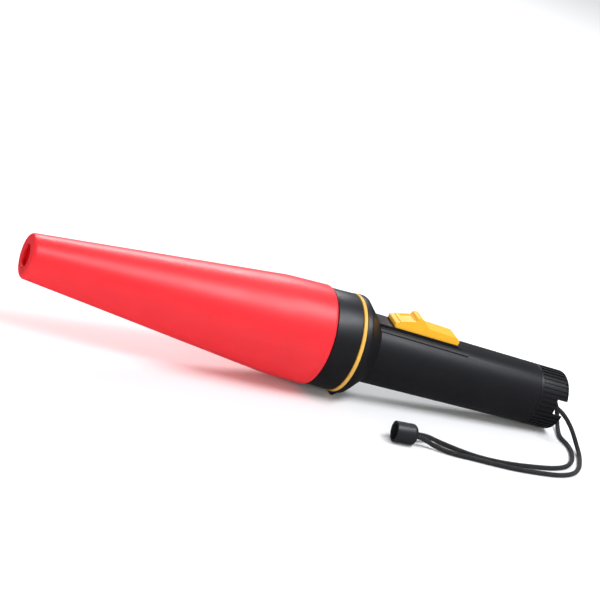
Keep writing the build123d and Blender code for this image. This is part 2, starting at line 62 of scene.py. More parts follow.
lightPlace = placeFrom(ringCentre, farSide, upward, rearward)  # Z runs along the light, Y is up
padRun = -Vector(joints["switch_slide"]["axis"])
padUp = padRun.cross(farSide)
padOrigin = ringCentre + (rearward * neck["station"] + upward * neck["radius"]) * mm
padPlace = placeFrom(padOrigin, padRun, farSide, padUp)  # X runs along the switch pad, Z is up
acrossPlace = placeFrom(padOrigin, -farSide, padRun, padUp)  # Y runs along the pad, Z is up
planPlace = placeFrom(padOrigin, padRun, padUp, -farSide)  # X runs along the pad, Y is up
worldPlace = Matrix.Identity(4)

# camera, floor and lights
camera = {
    "place": (-0.526, -1.2586, 0.5361), "heading": 22.339, "dip": 19.553, "roll": 18.695,
    "lens": 144, "sensor": 36,
}


def aim(heading, dip):
    across = math.cos(math.radians(dip))
    look = Vector((
        math.sin(math.radians(heading)) * across,
        math.cos(math.radians(heading)) * across,
        -math.sin(math.radians(dip)),
    ))
    return look.to_track_quat("-Z", "Y")


cameraData = bpy.data.cameras.new("camera")
cameraData.lens = camera["lens"]
cameraData.sensor_width = camera["sensor"]
cameraObject = bpy.data.objects.new("camera", cameraData)
bpy.context.scene.collection.objects.link(cameraObject)
cameraObject.location = camera["place"]
cameraObject.rotation_mode = "QUATERNION"
roll = Quaternion((0, 0, 1), math.radians(camera["roll"]))
cameraObject.rotation_quaternion = aim(camera["heading"], camera["dip"]) @ roll
bpy.context.scene.camera = cameraObject
bpy.context.scene.view_settings.view_transform = "Standard"

softboxes = {
    "overhead": {
        "place": (0.35, -0.42, 1.15), "size": (1.1, 0.34), "watts": 14,
        "colour": (0.94, 0.96, 1.0), "mirrored": True,
    },
    "behind": {
        "place": (0.05, 1.1, 0.85), "size": (1.0, 0.4), "watts": 15,
        "colour": (0.95, 0.97, 1.0), "mirrored": True,
    },
    "front": {
        "place": (-0.6, -1.4, 0.6), "size": (1.4, 0.6), "watts": 8,
        "colour": (1.0, 0.98, 0.96), "mirrored": False,
    },
}
lightsAimAt = Vector((0, 0, 0.03))
for lightName, box in softboxes.items():
    lightData = bpy.data.lights.new(lightName, "AREA")
    lightData.shape = "RECTANGLE"
    lightData.size, lightData.size_y = box["size"]
    lightData.energy = box["watts"]
    lightData.color = box["colour"]
    lightObject = bpy.data.objects.new(lightName, lightData)
    bpy.context.scene.collection.objects.link(lightObject)
    lightObject.location = box["place"]
    lightObject.rotation_mode = "QUATERNION"
    lightObject.rotation_quaternion = (lightsAimAt - Vector(box["place"])).to_track_quat("-Z", "Y")
    lightObject.visible_glossy = box["mirrored"]

# the surround looks white, gives an even light, and is nearly dark where gloss mirrors it
surround = {"seen": 1.0, "given": 0.42, "mirrored": 0.08}
world = bpy.data.worlds.new("surround")
bpy.context.scene.world = world
world.use_nodes = True
worldTree = world.node_tree
worldTree.nodes["Background"].inputs["Color"].default_value = (1, 1, 1, 1)
lightPath = worldTree.nodes.new("ShaderNodeLightPath")
notSeen = worldTree.nodes.new("ShaderNodeMapRange")
notSeen.inputs["To Min"].default_value = surround["given"]
notSeen.inputs["To Max"].default_value = surround["mirrored"]
brightness = worldTree.nodes.new("ShaderNodeMapRange")
brightness.inputs["To Max"].default_value = surround["seen"]
worldTree.links.new(lightPath.outputs["Is Glossy Ray"], notSeen.inputs["Value"])
worldTree.links.new(notSeen.outputs["Result"], brightness.inputs["To Min"])
worldTree.links.new(lightPath.outputs["Is Camera Ray"], brightness.inputs["Value"])
worldTree.links.new(brightness.outputs["Result"], worldTree.nodes["Background"].inputs["Strength"])
print("camera and lights ready")


# shared modelling moves
def deselectAll():
    if bpy.context.object and bpy.context.object.mode != "OBJECT":
        bpy.ops.object.mode_set(mode="OBJECT")
    bpy.ops.object.select_all(action="DESELECT")


def takeUp(piece):
    deselectAll()
    piece.select_set(True)
    bpy.context.view_layer.objects.active = piece


def edit(piece):
    takeUp(piece)
    bpy.ops.object.mode_set(mode="EDIT")
    bpy.ops.mesh.select_all(action="DESELECT")


def rename(name):
    piece = bpy.context.object
    piece.name = name
    piece.data.name = name
    return piece


def seat(piece, place):
    takeUp(piece)
    piece.matrix_world = place @ piece.matrix_world
    bpy.ops.object.transform_apply(location=True, rotation=True, scale=True)
    return piece


def smooth(piece, degrees=32):
    takeUp(piece)
    bpy.ops.object.shade_smooth_by_angle(angle=math.radians(degrees))
    return piece


def apply(piece, kind, **settings):
    takeUp(piece)
    modifier = piece.modifiers.new(kind.lower(), kind)
    for setting, value in settings.items():
        setattr(modifier, setting, value)
    bpy.ops.object.modifier_apply(modifier=modifier.name)
    return piece


def combine(piece, tool, operation):
    apply(piece, "BOOLEAN", object=tool, operation=operation, solver="EXACT")
    bpy.data.objects.remove(tool)
    return piece


def softEdges(piece, width, segments=2, degrees=30):
    return apply(
        piece, "BEVEL", width=width * mm, segments=segments, limit_method="ANGLE",
        angle_limit=math.radians(degrees), harden_normals=False,
    )


def rounded(points, steps=4):
    # a third number on a point rounds that corner to that radius
    done = []
    for index, point in enumerate(points):
        here = Vector(point[:2])
        if len(point) == 2:
            done.append(tuple(here))
            continue
        fillet = point[2]
        toBefore = (Vector(points[index - 1][:2]) - here).normalized()
        toAfter = (Vector(points[(index + 1) % len(points)][:2]) - here).normalized()
        half = toBefore.angle(toAfter) / 2
        start = here + toBefore * fillet / math.tan(half)
        end = here + toAfter * fillet / math.tan(half)
        centre = here + (toBefore + toAfter).normalized() * fillet / math.sin(half)
        for step in range(steps + 1):
            spoke = start.lerp(end, step / steps) - centre
            done.append(tuple(centre + spoke.normalized() * fillet))
    return done


def drawLine(name, points):
    deselectAll()
    bpy.ops.mesh.primitive_plane_add(size=mm, location=(0, 0, 0))
    piece = rename(name)
    bpy.ops.object.mode_set(mode="EDIT")
    bpy.ops.mesh.select_all(action="SELECT")
    bpy.ops.mesh.merge(type="CENTER")
    bpy.ops.transform.translate(value=Vector(points[0]) * mm)
    for start, end in zip(points, points[1:]):
        step = (Vector(end) - Vector(start)) * mm
        bpy.ops.mesh.extrude_vertices_move(TRANSFORM_OT_translate={"value": step})
    bpy.ops.mesh.select_all(action="SELECT")
    return piece


def mergeUp():
    bpy.ops.mesh.select_all(action="SELECT")
    bpy.ops.mesh.remove_doubles(threshold=0.002 * mm)
    bpy.ops.mesh.normals_make_consistent(inside=False)
    bpy.ops.object.mode_set(mode="OBJECT")


def turned(name, profile, sides=128, startAngle=0, place=lightPlace):
    # profile is a closed outline of (station, radius)
    corner = math.radians(startAngle)
    outline = [(r * math.cos(corner), r * math.sin(corner), s) for s, r in profile + profile[:1]]
    piece = drawLine(name, outline)
    bpy.ops.mesh.spin(steps=sides, angle=2 * math.pi, center=(0, 0, 0), axis=(0, 0, 1))
    mergeUp()
    return smooth(seat(piece, place))


def slab(name, outline, low, high, place):
    # outline is (x, z), carried across from y = low to y = high
    piece = drawLine(name, [(x, low, z) for x, z in outline])
    bpy.ops.mesh.edge_face_add()
    bpy.ops.mesh.extrude_region_move(TRANSFORM_OT_translate={"value": (0, (high - low) * mm, 0)})
    mergeUp()
    return seat(piece, place)


def block(name, low, high, place):
    outline = [(low[0], low[2]), (high[0], low[2]), (high[0], high[2]), (low[0], high[2])]
    return slab(name, outline, low[1], high[1], place)


# lanyard: two braided legs, the knot and the bell
lanyard = {
    "cordRadius": 1.5,
    "carriers": 6,        # strands each way round
    "laidAt": 1.06,       # radius that the strands lie at
    "weave": 0.12,        # how far they pass over and under
    "strand": 0.33,
    "core": 0.98,
    "turnLength": 9.0,
}
legStart = (171.4, -2.5, 20.3)
legByNotch = [
    legStart, (171.4, -9.5, 20.3), (173.0, -17.5, 20.6), (177.0, -22.5, 18.6), (182.8, -26.3, 12.2),
    (187.0, -31.0, 4.6), (187.0, -39.0, 1.5), (183.5, -48.5, 1.5), (178.3, -60.0, 1.5),
    (170.5, -69.6, 1.5), (158.5, -75.2, 1.5), (144.0, -76.4, 1.5), (128.5, -76.6, 1.5),
    (114.6, -74.6, 1.5), (101.0, -72.0, 1.5), (87.5, -70.0, 1.5), (77.5, -66.2, 2.2),
    (71.0, -64.6, 4.6), (64.84, -64.98, 6.4), (58.44, -64.76, 6.4),
]
legOverRim = [
    legStart, (171.4, 4.5, 20.3), (178.9, 4.9, 19.4), (184.2, 4.3, 13.0), (186.6, 2.4, 4.8),
    (184.6, -7.0, 1.6), (181.8, -17.5, 1.5), (183.9, -27.5, 1.5), (181.8, -39.5, 1.5),
    (176.8, -51.5, 1.5), (169.0, -61.0, 1.5), (157.5, -66.4, 1.5), (143.5, -68.8, 1.5),
    (129.0, -70.6, 1.5), (115.2, -70.4, 1.5), (101.6, -67.4, 1.5), (91.0, -61.6, 1.5),
    (82.0, -56.8, 1.9), (73.8, -57.6, 4.4), (64.94, -61.88, 6.4), (58.555, -61.66, 6.4),
]


def readRoute(name, points):
    curve = bpy.data.curves.new(name, "CURVE")
    curve.dimensions = "3D"
    spline = curve.splines.new("NURBS")
    spline.points.add(len(points) - 1)
    for knot, point in zip(spline.points, points):
        knot.co = (*(Vector(point) * mm), 1)
    spline.order_u = 3
    spline.use_endpoint_u = True
    spline.resolution_u = 38
    route = bpy.data.objects.new(name, curve)
    bpy.context.scene.collection.objects.link(route)
    bpy.context.view_layer.update()
    line = bpy.data.meshes.new_from_object(route)
    path = [vertex.co.copy() for vertex in line.vertices]
    bpy.data.objects.remove(route)
    bpy.data.meshes.remove(line)
    return path


def carryFrames(path):
    # a normal and a second normal at each point, carried along without twist
    tangents = [(after - before).normalized() for before, after in zip(path, path[1:])]
    tangents.append(tangents[-1])
    normal = tangents[0].orthogonal().normalized()
    frames = []
    for tangent in tangents:
        normal = (normal - tangent * normal.dot(tangent)).normalized()
        frames.append((normal.copy(), tangent.cross(normal)))
    return frames


def tubes(name, lines, radius, bevelSteps):
    curve = bpy.data.curves.new(name, "CURVE")
    curve.dimensions = "3D"
    curve.bevel_depth = radius * mm
    curve.bevel_resolution = bevelSteps
    curve.use_fill_caps = True
    for line in lines:
        spline = curve.splines.new("POLY")
        spline.points.add(len(line) - 1)
        for knot, point in zip(spline.points, line):
            knot.co = (*point, 1)
    piece = bpy.data.objects.new(name, curve)
    bpy.context.scene.collection.objects.link(piece)
    takeUp(piece)
    bpy.ops.object.convert(target="MESH")
    piece = bpy.context.object
    bpy.ops.object.mode_set(mode="EDIT")
    mergeUp()
    bpy.ops.object.shade_smooth()
    return piece


def braid(name, path, size=1.0):
    frames = carryFrames(path)
    carriers = lanyard["carriers"]
    strands = []
    for way in (-1, 1):
        for carrier in range(carriers):
            slack = random.uniform(-0.05, 0.05)
            travelled = 0
            strand = []
            for index, point in enumerate(path):
                if index:
                    travelled += (point - path[index - 1]).length / mm
                turn = 2 * math.pi * travelled / (lanyard["turnLength"] * size)
                angle = 2 * math.pi * carrier / carriers + way * turn + slack
                lift = lanyard["laidAt"] + way * lanyard["weave"] * math.cos(carriers * turn)
                normal, second = frames[index]
                spoke = normal * math.cos(angle) + second * math.sin(angle)
                strand.append(point + spoke * lift * size * mm)
            strands.append(strand)
    sheath = tubes(name, strands, lanyard["strand"] * size, 1)
    core = tubes(name + "Core", [path], lanyard["core"] * size, 2)
    deselectAll()
    core.select_set(True)
    sheath.select_set(True)
    bpy.context.view_layer.objects.active = sheath
    bpy.ops.object.join()
    return rename(name)


def pathLength(path):
    return sum((after - before).length for before, after in zip(path, path[1:]))


knot = {"ring": 0.86, "rise": 0.62, "size": 0.78, "along": 6.9}
bell = {
    "mouth": (49.7, -62.9, 6.4), "yaw": -2.0, "length": 14.0, "radius": 6.4, "wall": 1.5,
    "cup": 9.2, "hole": 3.35,
}
bellYaw = math.radians(bell["yaw"])
bellAxis = Vector((math.cos(bellYaw), math.sin(bellYaw), 0))
worldUp = Vector((0, 0, 1))
bellPlace = placeFrom(Vector(bell["mouth"]) * mm, worldUp.cross(bellAxis), worldUp, bellAxis)


def makeBell():
    profile = rounded([
        (0, bell["radius"], 0.35),
        (bell["length"], bell["radius"], 2.9),
        (bell["length"], bell["hole"], 0.3),
        (bell["cup"], bell["hole"], 0.2),
        (bell["cup"], bell["radius"] - bell["wall"]),
        (0, bell["radius"] - bell["wall"], 0.35),
    ], steps=6)
    return turned("lanyardBell", profile, sides=72, place=bellPlace)


def makeKnot():
    loop = []
    for step in range(121):
        turn = 2 * math.pi * step / 120
        across = math.sin(turn) + 2 * math.sin(2 * turn)
        rise = math.cos(turn) - 2 * math.cos(2 * turn)
        local = Vector((
            across * knot["ring"], rise * knot["ring"], knot["along"] - math.sin(3 * turn) * knot["rise"],
        ))
        loop.append(bellPlace @ (local * mm))
    return braid("lanyardKnot", loop, knot["size"])


bellPiece = makeBell()
knotPiece = makeKnot()
legs = {}
for legName, node, route, freeLength in (
    ("legByNotch", "lanyard_leg_notch", legByNotch, 0.199),
    ("legOverRim", "lanyard_leg_rim", legOverRim, 0.213),
):
    path = readRoute(legName, route)
    leg = braid(legName, path)
    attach(leg, "tail_cap")
    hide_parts(node)
    legs[legName] = leg
    print(legName, round(pathLength(path), 4), "m long,", len(leg.data.polygons), "faces")
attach(bellPiece, "tail_cap")
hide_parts("lanyard_bell")
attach(knotPiece, "tail_cap")
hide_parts("lanyard_knot")


# signal wand
wand = {
    "tip": -207.3, "tipRadius": 13.6, "tipRound": 2.6, "hole": 7.0, "knee": -49.7, "kneeRadius": 30.2,
    "skirtEnd": -18.5, "skirtRadius": 31.3, "skirtRound": 2.0, "wall": 2.0, "gripRadius": 29.08,
    "gripFront": -47.3,
}


def makeWand():
    profile = rounded([
        (wand["tip"], wand["hole"], 0.5),
        (wand["tip"], wand["tipRadius"], wand["tipRound"]),
        (wand["knee"], wand["kneeRadius"], 12.0),
        (wand["knee"] + 4, wand["kneeRadius"] + 0.35),
        (wand["skirtEnd"], wand["skirtRadius"], wand["skirtRound"]),
        (wand["skirtEnd"], wand["gripRadius"], 0.3),
        (wand["gripFront"], wand["gripRadius"]),
        (wand["knee"] - 2, wand["kneeRadius"] - wand["wall"]),
        (wand["tip"] + 3.2, wand["tipRadius"] - wand["wall"], 1.5),
        (wand["tip"] + 2.0, wand["hole"] + 3.0, 0.8),
        (wand["tip"] + 2.0, wand["hole"], 0.5),
    ], steps=8)
    return turned("wandCone", profile, sides=160)


wandPiece = makeWand()
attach(wandPiece, "wand")
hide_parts("wand_cone")
print("wand made")

# bezel and yellow ring
bezel = {
    "front": -46.7, "lip": 24.6, "grip": 29.0, "step": -18.2, "collar": 30.1, "rear": -1.5,
    "rearRadius": 30.45, "bore": 27.68, "boreFront": -12.3, "seat": 26.98, "seatFront": -44.7,
}
ring = {"front": -1.2, "rear": 1.2, "radius": 30.8, "inside": 27.62, "round": 0.55}


def makeBezel():
    profile = rounded([
        (bezel["front"], bezel["lip"], 0.4),
        (bezel["front"], bezel["grip"], 1.0),
        (bezel["step"], bezel["grip"]),
        (bezel["step"], bezel["collar"], 0.35),
        (bezel["rear"], bezel["rearRadius"], 0.5),
        (bezel["rear"], bezel["bore"]),
        (bezel["boreFront"], bezel["bore"]),
        (bezel["boreFront"], bezel["seat"]),
        (bezel["seatFront"], bezel["seat"]),
        (bezel["seatFront"], bezel["lip"], 0.3),
    ])
    return turned("bezelShell", profile, sides=160)


def makeRing():
    profile = rounded([
        (ring["front"], ring["inside"]),
        (ring["front"], ring["radius"], ring["round"]),
        (ring["rear"], ring["radius"], ring["round"]),
        (ring["rear"], ring["inside"]),
    ])
    return turned("trimRing", profile, sides=160)


bezelPiece = makeBezel()
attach(bezelPiece, "bezel")
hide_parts("bezel")
ringPiece = makeRing()
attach(ringPiece, "barrel")
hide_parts("trim_ring")
print("bezel and ring made")

# barrel with its foot, switch pad and rails
barrel = {
    "spigotFront": -12.0, "spigot": 27.6, "spigotInside": 25.8, "flangeFront": 1.2, "flange": 31.0,
    "flangeRear": 4.8, "seam": 131.0, "seamRadius": 19.23, "bore": 17.45, "guideFront": -8.0, "guide": 19.2,
}
foot = {
    "reach": 32.9, "halfWidth": 11.7, "rear": 7.4, "thick": 1.2, "fall": 4.5, "rooted": 3.0, "cutTop": 4.4,
}
pad = {
    "start": -4.0, "flat": 50.0, "length": 58.0, "halfWidth": 8.2, "railInside": 10.6, "railOutside": 11.9,
    "railHeight": 0.65, "railEnd": 61.5, "railDepth": 1.4, "depth": 2.3,
}
slot = {"front": 16.15, "length": 25.9, "halfWidth": 2.55, "depth": 3.0}
cavity = {"front": 11.1, "rear": 47.1, "halfWidth": 5.8, "roof": -1.0, "floor": -4.2}
channel = {"halfWidth": 3.3, "top": 18.05, "bottom": 16.05, "front": -8.5, "rear": 131.6}


def crownDrop(offset):
    return math.sqrt(neck["radius"] ** 2 - offset ** 2) - neck["radius"]


def makeBarrel():
    profile = rounded([
        (barrel["spigotFront"], barrel["spigotInside"]),
        (barrel["spigotFront"], barrel["spigot"]),
        (barrel["flangeFront"], barrel["spigot"]),
        (barrel["flangeFront"], barrel["flange"], 0.3),
        (barrel["flangeRear"], barrel["flange"] - 0.1, 2.2),
        (neck["station"], neck["radius"], 1.6),
        (barrel["seam"], barrel["seamRadius"], 0.12),
        (barrel["seam"], barrel["bore"]),
        (barrel["guideFront"], barrel["bore"]),
        (barrel["guideFront"], barrel["guide"]),
        (barrel["flangeRear"] - 1, barrel["guide"]),
        (barrel["flangeRear"] - 1, barrel["spigotInside"]),
    ], steps=5)
    piece = turned("barrelBody", profile, sides=160)
    # the foot is a lug on the flange's lowest part, cut flat where the light rests
    footProfile = rounded([
        (barrel["flangeFront"], barrel["spigot"] + 1),
        (barrel["flangeFront"], foot["reach"]),
        (barrel["flangeFront"] + foot["thick"], foot["reach"], 0.4),
        (foot["rear"], foot["reach"] - foot["fall"]),
        (foot["rear"], barrel["spigot"] - foot["rooted"]),
        (barrel["flangeFront"] + 2, barrel["spigot"] - foot["rooted"]),
    ])
    lug = turned("footLug", footProfile, sides=160)
    room = block(
        "footRoom", (-20, -foot["halfWidth"], 0), (80, foot["halfWidth"], foot["cutTop"]), worldPlace,
    )
    combine(lug, room, "INTERSECT")
    combine(piece, lug, "UNION")
    top = pad["halfWidth"]
    outline = [
        (pad["start"], -pad["depth"]), (pad["start"], 0), (pad["flat"], 0),
        (pad["length"], crownDrop(top)), (pad["length"], -pad["depth"]),
    ]
    deck = slab("padDeck", outline, -top, top, padPlace)
    combine(piece, deck, "UNION")
    for hand in (-1, 1):
        near, far = sorted((hand * pad["railInside"], hand * pad["railOutside"]))
        railTop = crownDrop(pad["railInside"]) + pad["railHeight"]
        railLow = crownDrop(pad["railOutside"]) + pad["railHeight"]
        low, high = (pad["start"], near, railLow - pad["railDepth"]), (pad["railEnd"], far, railTop)
        rail = block("rail", low, high, padPlace)
        toPad = padPlace.inverted()
        for vertex in rail.data.vertices:
            local = toPad @ vertex.co
            if abs(local.y) > (pad["railInside"] + 0.5) * mm and local.z > (railLow - 0.7) * mm:
                vertex.co -= padUp * (railTop - railLow) * mm
        combine(piece, rail, "UNION")
    opening = block(
        "switchSlot", (slot["front"], -slot["halfWidth"], -slot["depth"]),
        (slot["front"] + slot["length"], slot["halfWidth"], 1), padPlace,
    )
    combine(piece, opening, "DIFFERENCE")
    room = block(
        "switchCavity", (cavity["front"], -cavity["halfWidth"], cavity["floor"]),
        (cavity["rear"], cavity["halfWidth"], cavity["roof"]), padPlace,
    )
    combine(piece, room, "DIFFERENCE")
    groove = block(
        "stripChannel", (-channel["halfWidth"], channel["bottom"], channel["front"]),
        (channel["halfWidth"], channel["top"], channel["rear"]), lightPlace,
    )
    combine(piece, groove, "DIFFERENCE")
    edit(piece)
    bpy.ops.mesh.select_all(action="SELECT")
    bpy.ops.mesh.dissolve_degenerate(threshold=0.01 * mm)
    bpy.ops.object.mode_set(mode="OBJECT")
    return smooth(piece, 30)


barrelPiece = makeBarrel()
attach(barrelPiece, "barrel")
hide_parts("barrel")
print("barrel made,", len(barrelPiece.data.polygons), "faces")

# thumb switch
slider = {
    "front": 8.6, "rear": 54.6, "foot": 0.15, "halfWidth": 7.8, "skirt": 1.7, "bodyHalfWidth": 7.3,
    "topHalfWidth": 5.9, "ridgeFront": 22.0, "ridge": 9.4, "lip": 3.5, "face": 4.6, "faceRise": 2.3,
    "ramp": 4.9, "rampEnd": 4.3, "panel": 4.7, "stem": 23.6,
    "stemHalfWidth": 2.3, "stemLength": 18, "past": 14,
}


def sliderOutline(foot, ceiling=99):
    front, rear, ridgeFront = slider["front"], slider["rear"], slider["ridgeFront"]
    return [(x, min(z, ceiling)) for x, z in rounded([
        (rear, foot),
        (front + 0.6, foot),
        (front, foot + 1.0, 0.5),
        (front + 0.4, slider["lip"] - 0.2, 1.1),
        (front + 3.0, slider["lip"] + 0.1, 0.5),
        (front + 3.5, slider["face"] - 0.1, 0.5),
        (ridgeFront - 0.3, slider["face"] + slider["faceRise"], 0.7),
        (ridgeFront + 0.7, slider["ridge"], 1.0),
        (ridgeFront + 3.9, slider["ridge"], 1.4),
        (ridgeFront + 9.3, slider["ramp"], 3.0),
        (rear - 2.6, slider["rampEnd"], 2.6),
        (rear, slider["rampEnd"] - 2.1, 1.2),
    ], steps=4)]


def makeSlider():
    wide, front, rear = slider["halfWidth"], slider["front"], slider["rear"]
    body = slab("switchSlider", sliderOutline(slider["foot"]), -wide, wide, padPlace)
    plan = rounded([
        (front - 0.03, wide + 0.03, 1.9), (rear + 0.03, wide + 0.03, 2.4),
        (rear + 0.03, -wide - 0.03, 2.4), (front - 0.03, -wide - 0.03, 1.9),
    ], steps=6)
    combine(body, slab("switchPlan", plan, -3, slider["past"], planPlace), "INTERSECT")
    for hand in (-1, 1):
        flank = [
            (hand * slider["bodyHalfWidth"], slider["skirt"]),
            (hand * slider["topHalfWidth"], slider["ridge"] + 1),
            (hand * slider["past"], slider["ridge"] + 1), (hand * slider["past"], slider["skirt"]),
        ]
        combine(body, slab("flankCut", flank, 0, 70, acrossPlace), "DIFFERENCE")
    start, end = slider["front"] + 5.4, slider["ridgeFront"] - 0.6
    low, high = slider["face"] - 0.3, slider["face"] + slider["faceRise"] - 0.6
    panel = rounded([(start, low, 0.2), (end, high, 0.5), (end + 0.3, high + 3), (start - 0.5, low + 3)])
    combine(body, slab("thumbPanel", panel, -slider["panel"], slider["panel"], padPlace), "DIFFERENCE")
    stem = block(
        "switchStem", (slider["stem"], -slider["stemHalfWidth"], -1.15),
        (slider["stem"] + slider["stemLength"], slider["stemHalfWidth"], 0.8), padPlace,
    )
    combine(body, stem, "UNION")
    softEdges(body, 0.5, 4, 28)
    return smooth(body, 42)


sliderPiece = makeSlider()
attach(sliderPiece, "switch")
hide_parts("switch_slider")
print("switch made,", len(sliderPiece.data.polygons), "faces")

# tail cap: ribs, cup with its bar, two notches for the lanyard
cap = {
    "seam": 131.15, "seamRadius": 19.23, "tail": 152.1, "tailRadius": 19.03, "corner": 2.5, "cupRadius": 16.03,
    "cupFloor": 143.1, "spigotFront": 121.0, "spigot": 17.37, "bore": 14.57, "floorFront": 140.6,
    "grooveFront": 127.6, "grooveRear": 129.8, "groove": 15.97, "ribs": 40, "ribFront": 132.6,
    "ribDepth": 0.55, "notchFloor": 144.1, "notchWidth": 10.3, "notchAngle": 84.0,
    "bar": 1.8, "barStation": 149.0, "outsideMargin": 0.57, "axis": 0.001,
}
capSides = cap["ribs"] * 4


def makeCap():
    outer = [
        (cap["seam"], cap["spigot"]),
        (cap["seam"], cap["seamRadius"], 0.12),
        (cap["ribFront"], cap["seamRadius"] - 0.015),
        (cap["tail"], cap["tailRadius"], cap["corner"]),
        (cap["tail"], cap["cupRadius"], 0.5),
        (cap["cupFloor"], cap["cupRadius"], 0.6),
        (cap["cupFloor"], cap["axis"]),
        (cap["floorFront"], cap["axis"]),
        (cap["floorFront"], cap["bore"]),
        (cap["spigotFront"], cap["bore"]),
        (cap["spigotFront"], cap["spigot"], 0.4),
        (cap["grooveFront"], cap["spigot"]),
        (cap["grooveFront"], cap["groove"]),
        (cap["grooveRear"], cap["groove"]),
        (cap["grooveRear"], cap["spigot"]),
    ]
    piece = turned("tailCap", rounded(outer, steps=5), sides=capSides, startAngle=90 + cap["notchAngle"])
    half = cap["notchWidth"] / 2
    for opposite in (0, 180):
        across = Matrix.Rotation(math.radians(90 + cap["notchAngle"] + opposite), 4, "Z")
        low, high = (8, -half, cap["notchFloor"]), (24, half, cap["tail"] + 2)
        cutter = block("notchCut", low, high, lightPlace @ across)
        combine(piece, cutter, "DIFFERENCE")
    # grooves between the ribs: two faces in every four, pushed in
    toLight = lightPlace.inverted()
    grooveEnd = cap["tail"] - 0.6
    edit(piece)
    bpy.ops.mesh.select_mode(type="FACE")
    bpy.ops.object.mode_set(mode="OBJECT")
    for face in piece.data.polygons:
        centre = toLight @ face.center / mm
        radius = math.hypot(centre.x, centre.y)
        angle = math.degrees(math.atan2(centre.y, centre.x)) - 90 - cap["notchAngle"]
        facet = int((angle % 360) / 360 * capSides)
        outside = radius > cap["cupRadius"] + cap["outsideMargin"]
        face.select = cap["ribFront"] < centre.z < grooveEnd and outside and facet % 4 in (1, 2)
    bpy.ops.object.mode_set(mode="EDIT")
    bpy.ops.mesh.extrude_region_shrink_fatten(TRANSFORM_OT_shrink_fatten={"value": -cap["ribDepth"] * mm})
    bpy.ops.object.mode_set(mode="OBJECT")
    deselectAll()
    bpy.ops.mesh.primitive_cylinder_add(
        vertices=40, radius=cap["bar"] * mm, depth=(2 * cap["cupRadius"] + 1) * mm,
    )
    bar = rename("lanyardBar")
    barTurn = Matrix.Rotation(math.radians(90), 4, "X")
    seat(bar, lightPlace @ Matrix.Translation((0, 0, cap["barStation"] * mm)) @ barTurn)
    combine(piece, bar, "UNION")
    return smooth(piece, 30)


capPiece = makeCap()
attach(capPiece, "tail_cap")
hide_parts("tail_cap")
print("tail cap made,", len(capPiece.data.polygons), "faces")


# shared effects
def makeGroup(name, inputs, outputs):
    group = bpy.data.node_groups.new(name, "ShaderNodeTree")
    for label, value in inputs.items():
        socket = group.interface.new_socket(name=label, in_out="INPUT", socket_type="NodeSocketFloat")
        socket.default_value = value
    for label in outputs:
        group.interface.new_socket(name=label, in_out="OUTPUT", socket_type="NodeSocketFloat")
    groupIn = group.nodes.new("NodeGroupInput")
    groupOut = group.nodes.new("NodeGroupOutput")
    return group, groupIn, groupOut


def addNoise(tree, coordinates, scaleFrom, detail=4.0, roughness=0.5):
    noise = tree.nodes.new("ShaderNodeTexNoise")
    noise.inputs["Detail"].default_value = detail
    noise.inputs["Roughness"].default_value = roughness
    tree.links.new(coordinates, noise.inputs["Vector"])
    if isinstance(scaleFrom, (int, float)):
        noise.inputs["Scale"].default_value = scaleFrom
    else:
        tree.links.new(scaleFrom, noise.inputs["Scale"])
    return noise


def addMath(tree, operation, first, second):
    node = tree.nodes.new("ShaderNodeMath")
    node.operation = operation
    for socket, value in zip(node.inputs, (first, second)):
        if isinstance(value, (int, float)):
            socket.default_value = value
        else:
            tree.links.new(value, socket)
    return node.outputs["Value"]


def makeGrainGroup():
    # spark-eroded mould grain, with the slow mottling that handling gives
    group, groupIn, groupOut = makeGroup(
        "mouldGrain", {"Grain Scale": 2600.0, "Mottle Scale": 45.0}, ("Height", "Mottle"),
    )
    coordinates = group.nodes.new("ShaderNodeTexCoord").outputs["Object"]
    fine = addNoise(group, coordinates, groupIn.outputs["Grain Scale"], 3.0, 0.6)
    cells = group.nodes.new("ShaderNodeTexVoronoi")
    group.links.new(coordinates, cells.inputs["Vector"])
    group.links.new(groupIn.outputs["Grain Scale"], cells.inputs["Scale"])
    height = addMath(group, "ADD", fine.outputs["Fac"], cells.outputs["Distance"])
    slow = addNoise(group, coordinates, groupIn.outputs["Mottle Scale"], 5.0, 0.55)
    group.links.new(height, groupOut.inputs["Height"])
    group.links.new(slow.outputs["Fac"], groupOut.inputs["Mottle"])
    return group


def makeScuffGroup():
    # fine hair scratches, long in one direction
    group, groupIn, groupOut = makeGroup("hairScuffs", {"Amount": 0.5}, ("Mask",))
    coordinates = group.nodes.new("ShaderNodeTexCoord").outputs["Object"]
    stretch = group.nodes.new("ShaderNodeMapping")
    stretch.inputs["Rotation"].default_value = (0, math.radians(24), math.radians(17))
    stretch.inputs["Scale"].default_value = (60, 900, 900)
    group.links.new(coordinates, stretch.inputs["Vector"])
    lines = addNoise(group, stretch.outputs["Vector"], 1.0, 2.0, 0.4)
    ramp = group.nodes.new("ShaderNodeMapRange")
    ramp.inputs["From Min"].default_value = 0.66
    ramp.inputs["From Max"].default_value = 0.74
    group.links.new(lines.outputs["Fac"], ramp.inputs["Value"])
    mask = addMath(group, "MULTIPLY", ramp.outputs["Result"], groupIn.outputs["Amount"])
    group.links.new(mask, groupOut.inputs["Mask"])
    return group


